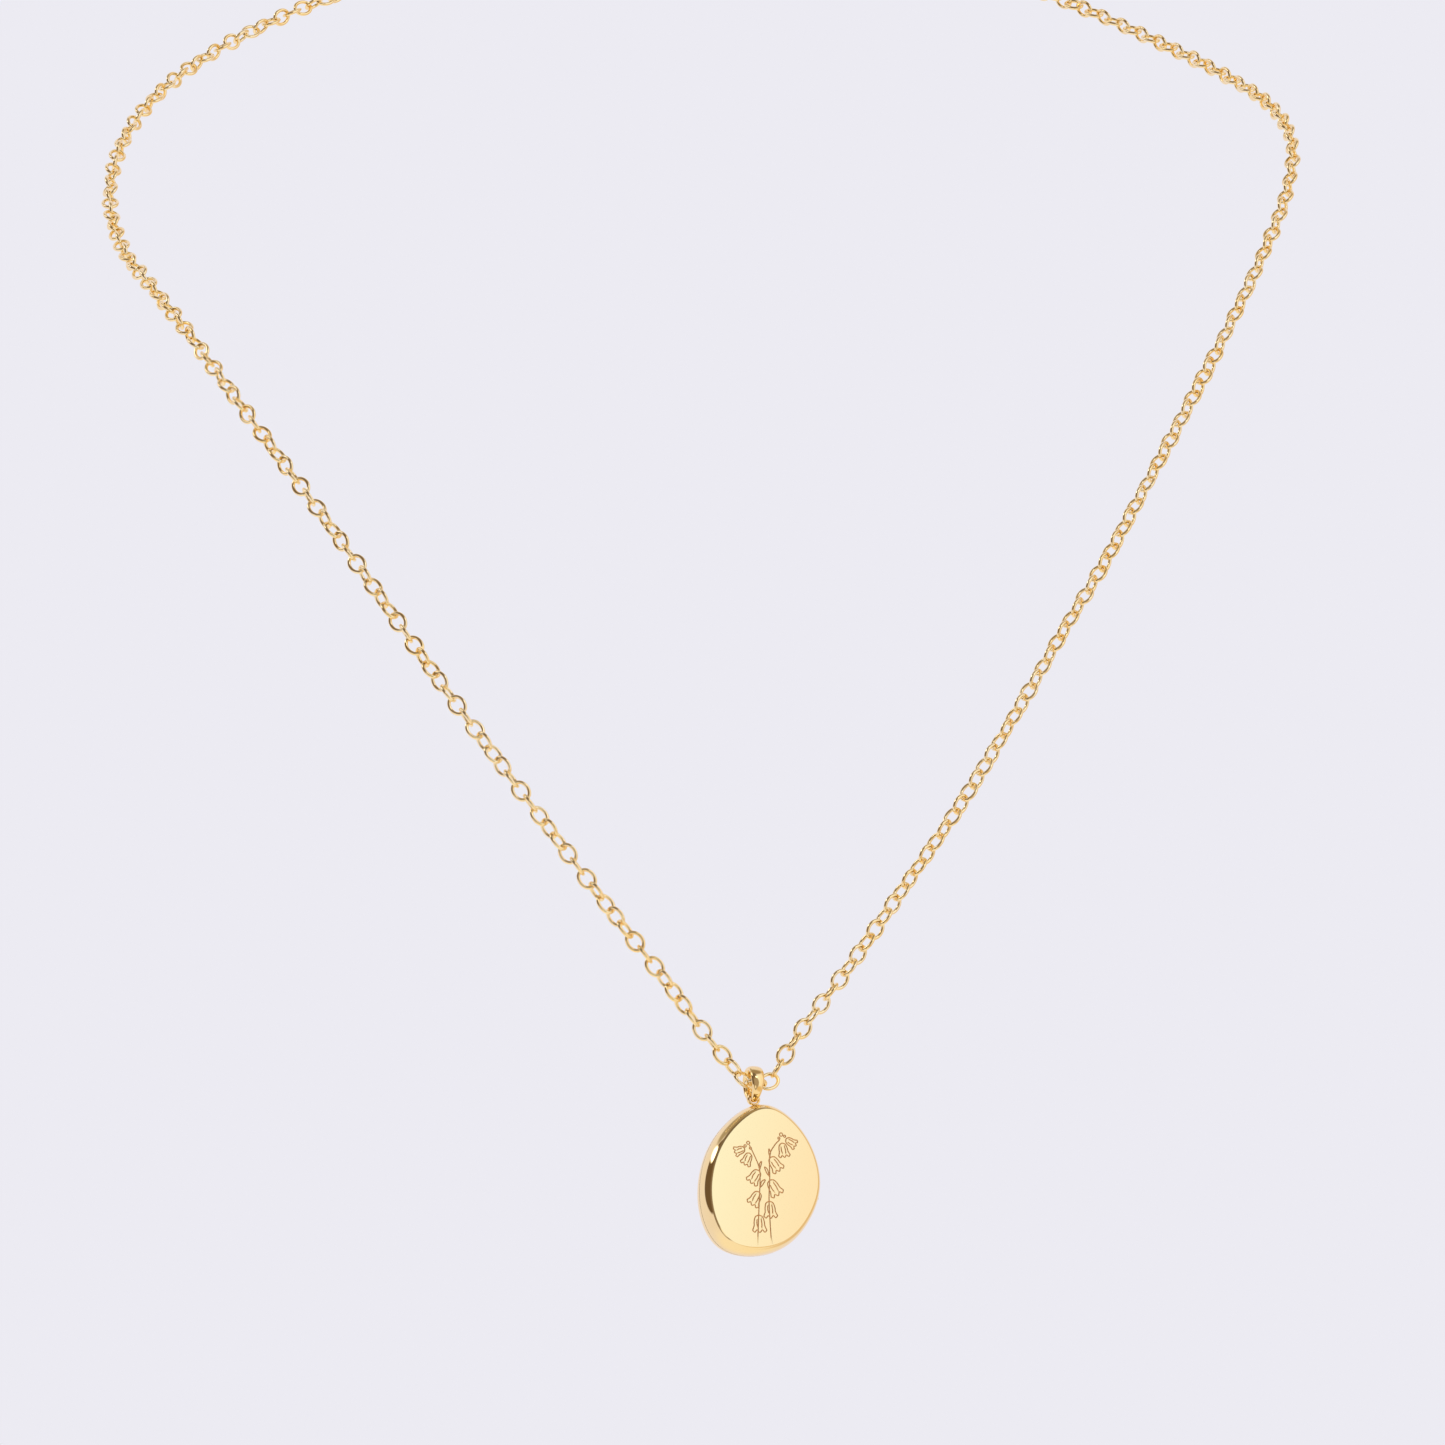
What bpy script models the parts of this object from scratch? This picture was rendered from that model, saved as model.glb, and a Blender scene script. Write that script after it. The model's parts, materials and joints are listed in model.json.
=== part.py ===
"""A small gilt locket on a cable chain, as it is worn.

Metres, +Z up. The origin is the middle of the neck that the chain goes round. The pendant hangs in front
(-Y), turned a little on its chain, and the clasp is at the nape (+Y).
"""

import math

import bmesh
import bpy
import numpy as np
from mathutils import Matrix, Vector

MM = 0.001

# Running clearance between pieces that touch, and between shells at the closing line.
GAP = 0.04

# Where the pendant hangs: the middle of its bail ring, in the neck's frame, and its turn about Z.
BAIL_AT = Vector((6.0, -45.0, -105.9))
PENDANT_TURN = math.radians(22.6)

# Bail ring: an oval section turned about the chain's direction, wide at the top and narrow at the eye.
BAIL_RADIUS = 1.62
BAIL_HALF_THICK = 0.325
BAIL_HALF_WIDE = 0.65
BAIL_LOW_HALF_WIDE = 0.40

# Pendant, in its own frame: X to the viewer's right, -Y to the front, the bail's middle above (0, 0, 0).
FACE_MIDDLE = (0.5, -10.3)
FACE_EDGE = (
    (0.25, 7.4),
    (3.35, 5.9),
    (5.35, 3.05),
    (6.0, -0.35),
    (4.9, -3.65),
    (2.6, -6.25),
    (-0.7, -7.4),
    (-4.05, -6.75),
    (-5.8, -3.8),
    (-5.95, -0.3),
    (-4.9, 3.05),
    (-2.75, 5.8),
)
OUTLINE_STEPS = 48
WALL_BULGE = 0.72
WALL_STEPS = 6
HALF_DEPTH = 1.72
EDGE_TURN = math.radians(15)
SHELL_FACE = 0.35
SHELL_WALL = 0.8
CAVITY = WALL_BULGE - SHELL_WALL
SEAM = 0.03

# What lies in each half, from its floor to the closing line.
PHOTO_THICK = 0.15
WINDOW_THICK = 0.2
FRAME_THICK = 0.3
FRAME_BAND = 0.9
STACK_GAP = 0.03
RIM_THICK = 0.25
RIM_BEHIND = 0.40
RIM_AHEAD = 0.30

# Eye: a closed band in the face's plane, round the bottom of the bail ring, oval in section.
EYE_HALF_THICK = 0.13
EYE_HALF_WIDE = 0.24
EYE_SIDES = 12
EYE_BEHIND = 0.30
EYE_AIR = 0.08

# Hinge on the wearer's left, sunk in the wall.
HINGE_SINK = 0.25
KNUCKLE_OUTER = 0.32
KNUCKLE_BORE = 0.18
KNUCKLE_LONG = 0.9
PIN_RADIUS = 0.15
HINGE_CLEAR = 0.48
HINGE_RUN = 1.9
HINGE_Z = FACE_MIDDLE[1] - 0.2

# Cable chain: oval links, one turned across the next.
LINK_WIRE = 0.2
LINK_LONG = 2.5
LINK_WIDE = 2.0
LINK_PITCH = LINK_LONG - 4 * LINK_WIRE - 3 * GAP
LINK_STEPS = 24

# The rest of each strand: a plain tube of the links' outer width, from just past its first link.
CHAIN_RADIUS = LINK_WIDE / 2
CHAIN_SPACING = 5.5
CHAIN_CLEAR = 0.15

# The link in the bail ring, and how its two neighbours rise from it. A lean of 0 puts a link's plane upright.
CENTRE_LINK_AT = (0.3, EYE_BEHIND, 0.07)
CENTRE_LINK_RISE = 0.0
CENTRE_LINK_LEAN = 65.0
SIDE_LINKS = {"left": (-1, 30.0, 30.0), "right": (1, 28.0, -15.0)}

# Spring ring clasp at the nape, and the rings at the chain's ends, all on one line along X.
NAPE = Vector((0.0, 50.0, 48.0))
CLASP_RADIUS = 2.5
CLASP_TUBE = 0.75
CLASP_BORE = 0.5
CLASP_EYE_X = -4.1
CLASP_EYE_RADIUS = 0.75
CLASP_EYE_WIRE = 0.25
END_LINKS = {"left": -6.88, "right": 5.10}
END_RINGS = {"clasp_jump_ring": (-5.15, 1.15, 0.22), "end_ring": (3.0, 1.6, 0.3)}

# Round the clasp, in degrees from +X towards +Z: its gate, and what lies in its bore.
GATE_FROM = 70
GATE_TO = 108
BORE_PAST_GATE = 6
TIP_SEAT = 10
BOLT_FROM = 63
BOLT_TO = 150
NUB_AT = 118
NUB_TRAVEL_TO = 164
SPRING_FROM = 152
SPRING_TO = 286
BORE_END = 290
ARC_STEP = 8

# The bolt, the nub that a fingernail pulls, and the spring behind the bolt.
BOLT_RADIUS = 0.42
NUB_RADIUS = 0.18
NUB_ROOT = 0.1
NUB_TIP = 1.15
NUB_SLOT_OUT = 0.65
NUB_SLOT_RADIUS = 0.26
SPRING_TURNS = 8
SPRING_STEPS = 8
SPRING_COIL = 0.34
SPRING_WIRE = 0.07

# The two strands' routes from the bail to the nape, in millimetres.
LEFT_ROUTE = (
    (4.0, -45.5, -104.2),
    (1.0, -46.0, -101.0),
    (-3.5, -46.8, -95.0),
    (-9.0, -47.7, -88.0),
    (-15.0, -48.2, -80.0),
    (-21.0, -48.0, -71.8),
    (-27.0, -46.8, -63.3),
    (-33.0, -44.5, -54.2),
    (-39.0, -41.6, -45.0),
    (-45.0, -37.8, -36.0),
    (-50.5, -33.2, -27.5),
    (-55.5, -26.5, -19.2),
    (-60.0, -18.2, -11.8),
    (-63.5, -9.5, -5.3),
    (-65.5, 0.5, 2.8),
    (-65.0, 10.0, 11.5),
    (-61.5, 20.0, 20.5),
    (-54.5, 29.5, 29.0),
    (-44.0, 38.0, 36.8),
    (-31.5, 44.5, 42.8),
    (-18.5, 48.8, 46.8),
    (-8.3, 50.0, 48.0),
)
RIGHT_ROUTE = (
    (7.8, -44.6, -104.2),
    (11.0, -44.0, -99.9),
    (16.0, -43.3, -93.0),
    (22.0, -42.4, -84.0),
    (28.2, -41.1, -74.5),
    (34.4, -39.0, -63.7),
    (39.3, -36.4, -54.6),
    (43.6, -33.3, -46.8),
    (48.1, -29.2, -37.6),
    (52.7, -24.4, -28.0),
    (57.6, -18.8, -17.4),
    (62.0, -12.8, -7.0),
    (65.0, -6.8, 1.7),
    (66.0, -0.4, 9.2),
    (64.2, 8.0, 15.8),
    (59.5, 17.0, 22.0),
    (52.0, 27.0, 29.0),
    (42.0, 36.5, 36.5),
    (30.5, 43.8, 42.8),
    (18.0, 48.4, 46.9),
    (6.6, 50.0, 48.0),
)

CURVE_SIDES = 2
RING_STEPS = 28
OBJECT_NAME = "locket_necklace"


def clear_scene():
    for obj in list(bpy.data.objects):
        bpy.data.objects.remove(obj, do_unlink=True)


def collection(name):
    made = bpy.data.collections.new(name)
    bpy.context.scene.collection.children.link(made)
    return made


def material(name, colour, roughness, metallic=0.0):
    made = bpy.data.materials.new(name)
    made.use_nodes = True
    shader = made.node_tree.nodes["Principled BSDF"]
    shader.inputs["Base Color"].default_value = (*colour, 1.0)
    shader.inputs["Roughness"].default_value = roughness
    shader.inputs["Metallic"].default_value = metallic
    return made


def add(name, data, look, parent=None):
    """A named object with one material, whose data is in the frame of its parent."""
    obj = bpy.data.objects.new(name, data)
    data.materials.append(look)
    obj.parent = parent
    parts.objects.link(obj)
    return obj


def empty(name, parent=None, at=(0, 0, 0), turn=0.0):
    made = bpy.data.objects.new(name, None)
    made.location = Vector(at) * MM
    made.rotation_euler.z = turn
    made.parent = parent
    parts.objects.link(made)
    return made


def cut(target, cutter):
    """Boolean difference, with the cutter kept out of the parts."""
    if cutter.name in parts.objects:
        parts.objects.unlink(cutter)
        cutters.objects.link(cutter)
    cutter.hide_render = True
    cutter.display_type = "WIRE"
    step = target.modifiers.new("cut_" + cutter.name, "BOOLEAN")
    step.operation = "DIFFERENCE"
    step.solver = "EXACT"
    step.object = cutter


def join(target, tool):
    """Boolean union, with the tool kept out of the parts."""
    cut(target, tool)
    target.modifiers[-1].operation = "UNION"


def as_mesh(obj):
    """The object again as a welded mesh, for Boolean modifiers."""
    bpy.context.view_layer.update()
    seen = obj.evaluated_get(bpy.context.evaluated_depsgraph_get())
    mesh = bpy.data.meshes.new_from_object(seen)
    work = bmesh.new()
    work.from_mesh(mesh)
    bmesh.ops.remove_doubles(work, verts=work.verts, dist=1e-7)
    bmesh.ops.recalc_face_normals(work, faces=work.faces)
    work.to_mesh(mesh)
    work.free()
    name, parent, place = obj.name, obj.parent, obj.matrix_local.copy()
    bpy.data.objects.remove(obj)
    made = bpy.data.objects.new(name, mesh)
    made.parent = parent
    made.matrix_local = place
    parts.objects.link(made)
    return made


def smooth(obj, angle=40):
    """Round pieces are shaded smooth, with their real edges kept."""
    obj.data.shade_smooth()
    obj.data.set_sharp_from_angle(angle=math.radians(angle))
    return obj


def closed_spline(points, count):
    """Evenly spread points on the periodic cubic curve through the given ones."""
    knots = np.asarray(points, float)
    n = len(knots)
    system = 4 * np.eye(n) + np.roll(np.eye(n), 1, 0) + np.roll(np.eye(n), -1, 0)
    slope = np.linalg.solve(system, 3 * (np.roll(knots, -1, 0) - np.roll(knots, 1, 0)))
    fine = []
    for k in range(n):
        a, b = knots[k], knots[(k + 1) % n]
        va, vb = slope[k], slope[(k + 1) % n]
        for t in np.arange(0, 1, 1 / 40):
            fine.append(
                a * (1 - 3 * t**2 + 2 * t**3)
                + b * (3 * t**2 - 2 * t**3)
                + va * (t - 2 * t**2 + t**3)
                + vb * (t**3 - t**2)
            )
    fine.append(fine[0])
    fine = np.array(fine)
    run = np.r_[0, np.cumsum(np.linalg.norm(np.diff(fine, axis=0), axis=1))]
    want = np.linspace(0, run[-1], count, endpoint=False)
    return np.stack([np.interp(want, run, fine[:, i]) for i in range(fine.shape[1])], 1)


def outline(grow):
    """The face's edge grown outwards by so much, as (x, z) in the pendant's frame."""
    edge = closed_spline(FACE_EDGE, OUTLINE_STEPS)
    along = np.roll(edge, -1, 0) - np.roll(edge, 1, 0)
    along /= np.linalg.norm(along, axis=1)[:, None]
    outwards = np.stack([-along[:, 1], along[:, 0]], 1)
    return edge + outwards * grow + np.array(FACE_MIDDLE)


def ring_at(grow, y):
    return [Vector((x, y, z)) * MM for x, z in outline(grow)]


def loft(name, rings):
    """A closed mesh through equal rings of points, with its first and last ring filled."""
    work = bmesh.new()
    loops = [[work.verts.new(p) for p in ring] for ring in rings]
    count = len(loops[0])
    for one, two in zip(loops, loops[1:]):
        for i in range(count):
            j = (i + 1) % count
            work.faces.new((one[i], one[j], two[j], two[i]))
    work.faces.new(loops[0])
    work.faces.new(loops[-1])
    bmesh.ops.recalc_face_normals(work, faces=work.faces)
    mesh = bpy.data.meshes.new(name)
    work.to_mesh(mesh)
    work.free()
    return mesh


def half_shell(name, side):
    """A hollow half of the pendant. Its wall starts at the flat face's crisp edge and bulges to the closing
    line. Side -1 is the front, +1 the back."""
    rings = []
    start = math.sin(EDGE_TURN)
    for turn in np.linspace(EDGE_TURN, math.pi / 2, WALL_STEPS + 1):
        grow = WALL_BULGE * (math.sin(turn) - start) / (1 - start)
        depth = max(HALF_DEPTH * math.cos(turn) / math.cos(EDGE_TURN), SEAM)
        rings.append(ring_at(grow, side * depth))
    rings.append(ring_at(CAVITY, side * SEAM))
    rings.append(ring_at(CAVITY, side * (HALF_DEPTH - SHELL_FACE)))
    return loft(name, rings)


def flat_piece(name, outlines, thick):
    """A flat piece in the face's plane, from closed outlines, the inner ones being holes."""
    curve = bpy.data.curves.new(name, "CURVE")
    curve.dimensions = "2D"
    curve.fill_mode = "BOTH"
    curve.extrude = thick / 2 * MM
    for points in outlines:
        spline = curve.splines.new("POLY")
        spline.points.add(len(points) - 1)
        for point, (x, z) in zip(spline.points, points):
            point.co = (x * MM, z * MM, 0, 1)
        spline.use_cyclic_u = True
    return curve


def stand_up(obj, y):
    """Turns a flat piece from its drawing plane to the face's plane, at depth y."""
    obj.rotation_euler.x = math.pi / 2
    obj.location.y += y * MM
    return obj


def wire(name, points, radius, cyclic=False):
    """A round wire through the given points, in millimetres."""
    curve = bpy.data.curves.new(name, "CURVE")
    curve.dimensions = "3D"
    curve.bevel_depth = radius * MM
    curve.bevel_resolution = CURVE_SIDES
    curve.use_fill_caps = not cyclic
    spline = curve.splines.new("POLY")
    spline.points.add(len(points) - 1)
    for point, co in zip(spline.points, points):
        point.co = (*(Vector(co) * MM), 1)
    spline.use_cyclic_u = cyclic
    return curve


def arc(radius, start, end):
    """Points on an arc in the XZ plane, angles in degrees from +X towards +Z."""
    steps = max(3, round(abs(end - start) / ARC_STEP))
    turns = np.radians(np.linspace(start, end, steps + 1))
    return [radius * Vector((math.cos(t), 0, math.sin(t))) for t in turns]


def oval(centre, half_x, half_z, steps):
    turns = np.radians(np.arange(0, 360, 360 / steps))
    return [Vector(centre) + Vector((half_x * math.cos(t), 0, half_z * math.sin(t))) for t in turns]


def rod(name, radius, low, high, sides=24):
    """A round bar along Z from low to high, in millimetres."""
    work = bmesh.new()
    bmesh.ops.create_cone(
        work, cap_ends=True, segments=sides, radius1=radius * MM, radius2=radius * MM, depth=(high - low) * MM
    )
    bmesh.ops.translate(work, verts=work.verts, vec=(0, 0, (high + low) / 2 * MM))
    mesh = bpy.data.meshes.new(name)
    work.to_mesh(mesh)
    work.free()
    return mesh


def smooth_route(points, spacing):
    """Points a spacing apart on a smooth curve through the route's own points."""
    knots = [Vector(p) for p in points]
    knots = [2 * knots[0] - knots[1], *knots, 2 * knots[-1] - knots[-2]]
    fine = []
    for k in range(1, len(knots) - 2):
        before, a, b, after = knots[k - 1 : k + 3]
        for t in np.arange(0, 1, 1 / 20):
            fine.append(
                a
                + (b - before) * (t / 2)
                + (2 * before - 5 * a + 4 * b - after) * (t**2 / 2)
                + (3 * a - before - 3 * b + after) * (t**3 / 2)
            )
    fine.append(knots[-2])
    fine = np.array(fine)
    run = np.r_[0, np.cumsum(np.linalg.norm(np.diff(fine, axis=0), axis=1))]
    want = np.linspace(0, run[-1], round(run[-1] / spacing) + 1)
    return np.stack([np.interp(want, run, fine[:, i]) for i in range(3)], 1)


def chain_link(name, centre, along, lean, look):
    """One oval link: its length runs along, and its plane is turned about that by its lean from upright."""
    long_way = Vector(along).normalized()
    upright = (Vector((0, 0, 1)) - long_way.z * long_way).normalized()
    wide_way = Matrix.Rotation(math.radians(lean), 3, long_way) @ upright
    half_long = LINK_LONG / 2 - LINK_WIRE
    half_wide = LINK_WIDE / 2 - LINK_WIRE
    points = []
    for t in np.radians(np.arange(0, 360, 360 / LINK_STEPS)):
        points.append(long_way * half_long * math.cos(t) + wide_way * half_wide * math.sin(t))
    add(name, wire(name, points, LINK_WIRE, cyclic=True), look).location = Vector(centre) * MM


def make_shells(frame, hinge_at, look):
    """The two half shells. The front one turns about the hinge."""
    back = add("back_shell", half_shell("back_shell", 1), look, frame)
    cover_frame = empty("cover_frame", frame, hinge_at)
    front_mesh = half_shell("front_cover", -1)
    front_mesh.transform(Matrix.Translation(-Vector(hinge_at) * MM))
    front = add("front_cover", front_mesh, look, cover_frame)
    return back, front, cover_frame


def relieve(shell, name, at, reach, low, high, look):
    """Clears a shell round the hinge's axis, out to so far and from low to high along it."""
    recess = add(f"{shell.name}_{name}_recess", rod("recess", reach, low, high), look, shell.parent)
    recess.location = Vector(at) * MM
    cut(shell, recess)


def make_hinge(frame, cover_frame, hinge_at, back, front, look):
    """Three knuckles on a pin, sunk in the wall. Each shell is relieved round the other one's knuckles."""
    pitch = KNUCKLE_LONG + GAP
    half = 1.5 * pitch
    places = {back: hinge_at, front: (0, 0, 0)}
    spans = {
        "back_knuckle_upper": (pitch, back, front),
        "front_knuckle": (0.0, front, back),
        "back_knuckle_lower": (-pitch, back, front),
    }
    for name, (middle, own, other) in spans.items():
        low, high = middle - KNUCKLE_LONG / 2, middle + KNUCKLE_LONG / 2
        knuckle = add(name, rod(name, KNUCKLE_OUTER, low, high), look, own.parent)
        knuckle.location = Vector(places[own]) * MM
        bore = add(name + "_bore", rod("bore", KNUCKLE_BORE, low - 1, high + 1, 16), look, own.parent)
        bore.location = knuckle.location
        cut(knuckle, bore)
        smooth(knuckle)
        low, high = middle - pitch / 2, middle + pitch / 2
        relieve(own, name, places[own], KNUCKLE_OUTER + GAP, low, high, look)
        relieve(other, name, places[other], HINGE_CLEAR, low, high, look)
    for shell, at in places.items():
        relieve(shell, "upper_end", at, HINGE_CLEAR, half, HINGE_RUN, look)
        relieve(shell, "lower_end", at, HINGE_CLEAR, -HINGE_RUN, -half, look)
    pin = add("hinge_pin", rod("hinge_pin", PIN_RADIUS, -half, half, 16), look, frame)
    pin.location = Vector(hinge_at) * MM
    smooth(pin)


def make_half_contents(side, label, frame, origin, gold, clear, paper):
    """Photo card, clear window and retaining frame in one half, from the floor to the closing line."""
    floor = HALF_DEPTH - SHELL_FACE
    card_at = floor - STACK_GAP - PHOTO_THICK / 2
    window_at = card_at - PHOTO_THICK / 2 - STACK_GAP - WINDOW_THICK / 2
    frame_at = window_at - WINDOW_THICK / 2 - STACK_GAP - FRAME_THICK / 2
    edge = CAVITY - GAP
    pieces = (
        (f"{label}_photo", [outline(edge)], PHOTO_THICK, card_at, paper),
        (f"{label}_window", [outline(edge)], WINDOW_THICK, window_at, clear),
        (f"{label}_photo_frame", [outline(edge), outline(edge - FRAME_BAND)], FRAME_THICK, frame_at, gold),
    )
    for name, outlines, thick, depth, look in pieces:
        piece = add(name, flat_piece(name, outlines, thick), look, frame)
        stand_up(piece, side * depth)
        piece.location -= Vector(origin) * MM


def make_closing_rim(frame, look):
    """The band inside the back shell that the front cover closes over."""
    outer = CAVITY - GAP
    rim = flat_piece("closing_rim", [outline(outer), outline(outer - RIM_THICK)], RIM_BEHIND + RIM_AHEAD)
    stand_up(add("closing_rim", rim, look, frame), (RIM_BEHIND - RIM_AHEAD) / 2)


def eye_band(name, grow=0.0):
    """The eye's mesh, or the same grown all round."""
    half_x = BAIL_LOW_HALF_WIDE + EYE_AIR + EYE_HALF_THICK
    half_z = BAIL_HALF_THICK + EYE_AIR + EYE_HALF_THICK
    work = bmesh.new()
    loops = []
    for t in np.radians(np.arange(0, 360, 360 / RING_STEPS)):
        middle = Vector((half_x * math.cos(t), EYE_BEHIND, half_z * math.sin(t) - BAIL_RADIUS))
        outwards = Vector((math.cos(t) / half_x, 0, math.sin(t) / half_z)).normalized()
        loop = []
        for s in np.radians(np.arange(0, 360, 360 / EYE_SIDES)):
            thick_way = outwards * (EYE_HALF_THICK + grow) * math.cos(s)
            wide_way = Vector((0, (EYE_HALF_WIDE + grow) * math.sin(s), 0))
            loop.append(work.verts.new((middle + thick_way + wide_way) * MM))
        loops.append(loop)
    for one, two in zip(loops, loops[1:] + loops[:1]):
        for i in range(EYE_SIDES):
            j = (i + 1) % EYE_SIDES
            work.faces.new((one[i], one[j], two[j], two[i]))
    bmesh.ops.recalc_face_normals(work, faces=work.faces)
    mesh = bpy.data.meshes.new(name)
    work.to_mesh(mesh)
    work.free()
    return mesh


def make_eye(frame, back, look):
    """The band soldered in a small notch at the top of the back shell."""
    smooth(add("pendant_eye", eye_band("pendant_eye"), look, frame))
    cut(back, add("eye_notch", eye_band("eye_notch", GAP), look, frame))


def make_bail(frame, look):
    """The oval-section ring that slides on the chain, narrowing towards the eye."""
    bpy.ops.mesh.primitive_torus_add(
        major_segments=40,
        minor_segments=12,
        major_radius=BAIL_RADIUS * MM,
        minor_radius=BAIL_HALF_THICK * MM,
    )
    made = bpy.context.active_object
    mesh = made.data
    bpy.data.objects.remove(made)
    mesh.transform(Matrix.Diagonal((1, 1, BAIL_HALF_WIDE / BAIL_HALF_THICK, 1)))
    mesh.transform(Matrix.Rotation(math.pi / 2, 4, "Y"))
    for vertex in mesh.vertices:
        turn = math.atan2(vertex.co.z, vertex.co.y)
        low = ((1 - math.sin(turn)) / 2) ** 2
        vertex.co.x *= 1 - low * (1 - BAIL_LOW_HALF_WIDE / BAIL_HALF_WIDE)
    mesh.transform(Matrix.Translation(Vector((0, EYE_BEHIND, 0)) * MM))
    return smooth(add("bail_ring", mesh, look, frame))


def make_chain(look):
    """The link in the bail, one real link on each side of it, and the plain strands up to the nape."""
    turn = Matrix.Rotation(PENDANT_TURN, 3, "Z")

    def rising(way, degrees):
        rise = math.radians(degrees)
        return turn @ Vector((way * math.cos(rise), 0, math.sin(rise)))

    centre = BAIL_AT + turn @ Vector(CENTRE_LINK_AT)
    through = rising(1, CENTRE_LINK_RISE)
    chain_link("centre_link", centre, through, CENTRE_LINK_LEAN, look)
    for label, route in (("left", LEFT_ROUTE), ("right", RIGHT_ROUTE)):
        way, rise, lean = SIDE_LINKS[label]
        near = centre + through * way * LINK_PITCH / 2
        up_the_chain = rising(way, rise)
        chain_link(f"{label}_side_link", near + up_the_chain * LINK_PITCH / 2, up_the_chain, lean, look)
        start = near + up_the_chain * (LINK_PITCH + 2 * LINK_WIRE + CHAIN_CLEAR)
        points = smooth_route((start, *route[1:]), CHAIN_SPACING)
        name = f"{label}_chain"
        add(name, wire(name, points, CHAIN_RADIUS), look)


def make_ends(look):
    """The links and rings that join the strands to the clasp."""
    for side, x in END_LINKS.items():
        chain_link(f"{side}_end_link", NAPE + Vector((x, 0, 0)), (1, 0, 0), 0.0, look)
    for name, (x, radius, thick) in END_RINGS.items():
        lying = [Vector((p.x, p.z, 0)) for p in oval((0, 0, 0), radius, radius, RING_STEPS)]
        ring = add(name, wire(name, lying, thick, cyclic=True), look)
        ring.location = (NAPE + Vector((x, 0, 0))) * MM


def make_clasp_body(at, look):
    """The hollow ring with its gate, its eye, the bore that the bolt slides in and the nub's slot."""
    body = wire("clasp_body", arc(CLASP_RADIUS, GATE_TO, 360 + GATE_FROM), CLASP_TUBE)
    body = as_mesh(add("clasp_body", body, look, at))
    eye = oval((CLASP_EYE_X, 0, 0), CLASP_EYE_RADIUS, CLASP_EYE_RADIUS, RING_STEPS)
    join(body, as_mesh(add("clasp_eye", wire("clasp_eye", eye, CLASP_EYE_WIRE, cyclic=True), look, at)))
    bore_from = GATE_TO - BORE_PAST_GATE
    for name, points, reach in (
        ("spring_bore", arc(CLASP_RADIUS, bore_from, BORE_END), CLASP_BORE),
        ("tip_bore", arc(CLASP_RADIUS, GATE_FROM - TIP_SEAT, GATE_FROM + BORE_PAST_GATE), CLASP_BORE),
        ("nub_slot", arc(CLASP_RADIUS + NUB_SLOT_OUT, bore_from, NUB_TRAVEL_TO), NUB_SLOT_RADIUS),
    ):
        cut(body, as_mesh(add(name, wire(name, points, reach), look, at)))
    return smooth(body, 50)


def make_clasp_bolt(at, look):
    """The bolt across the gate, with the nub that draws it back."""
    bolt = wire("clasp_bolt", arc(CLASP_RADIUS, BOLT_FROM, BOLT_TO), BOLT_RADIUS)
    bolt = as_mesh(add("clasp_bolt", bolt, look, at))
    nub_way = arc(1.0, NUB_AT, NUB_AT)[0]
    nub = [nub_way * (CLASP_RADIUS + reach) for reach in (NUB_ROOT, NUB_TIP)]
    join(bolt, as_mesh(add("bolt_nub", wire("bolt_nub", nub, NUB_RADIUS), look, at)))
    return smooth(bolt, 50)


def make_clasp_spring(at, look):
    """The coil spring that follows the clasp's bore behind the bolt."""
    points = []
    count = SPRING_TURNS * SPRING_STEPS
    for k in range(count + 1):
        along = math.radians(SPRING_FROM + (SPRING_TO - SPRING_FROM) * k / count)
        around = 2 * math.pi * k / SPRING_STEPS
        reach = CLASP_RADIUS + SPRING_COIL * math.cos(around)
        points.append((reach * math.cos(along), SPRING_COIL * math.sin(around), reach * math.sin(along)))
    add("clasp_spring", wire("clasp_spring", points, SPRING_WIRE), look, at)


def main():
    gold = material("gilt_steel", (0.94, 0.72, 0.36), 0.08, 1.0)
    steel = material("spring_steel", (0.62, 0.60, 0.57), 0.25, 1.0)
    clear = material("clear_window", (0.93, 0.95, 0.95), 0.05)
    paper = material("photo_card", (0.90, 0.88, 0.84), 0.6)

    pendant_frame = empty("pendant_frame", None, BAIL_AT, PENDANT_TURN)
    hinge_x = max(outline(WALL_BULGE)[:, 0]) - HINGE_SINK
    hinge_at = Vector((hinge_x, 0, HINGE_Z))

    back, front, cover_frame = make_shells(pendant_frame, hinge_at, gold)
    make_hinge(pendant_frame, cover_frame, hinge_at, back, front, gold)
    make_half_contents(1, "back", pendant_frame, (0, 0, 0), gold, clear, paper)
    make_half_contents(-1, "front", cover_frame, hinge_at, gold, clear, paper)
    make_closing_rim(pendant_frame, gold)
    make_eye(pendant_frame, back, gold)
    smooth(back)
    smooth(front)
    make_bail(pendant_frame, gold)
    make_chain(gold)
    make_ends(gold)
    clasp_frame = empty("clasp_frame", None, NAPE)
    make_clasp_body(clasp_frame, gold)
    make_clasp_bolt(clasp_frame, gold)
    make_clasp_spring(clasp_frame, steel)


clear_scene()
parts = collection(OBJECT_NAME)
cutters = collection("cutters")
main()
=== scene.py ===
"""The looks of a small gilt locket on a cable chain, built round its CAD frame.

Lengths inside the functions are in millimetres and are scaled to metres where a mesh is made. The pendant's
pieces are drawn in its own frame: X to the viewer's right, -Y out of its face, Z up, with the bail ring's
middle just behind (0, 0, 0).
"""

import json
import math
import random

import bmesh
import bpy
import numpy as np
from mathutils import Matrix, Vector, geometry


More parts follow.
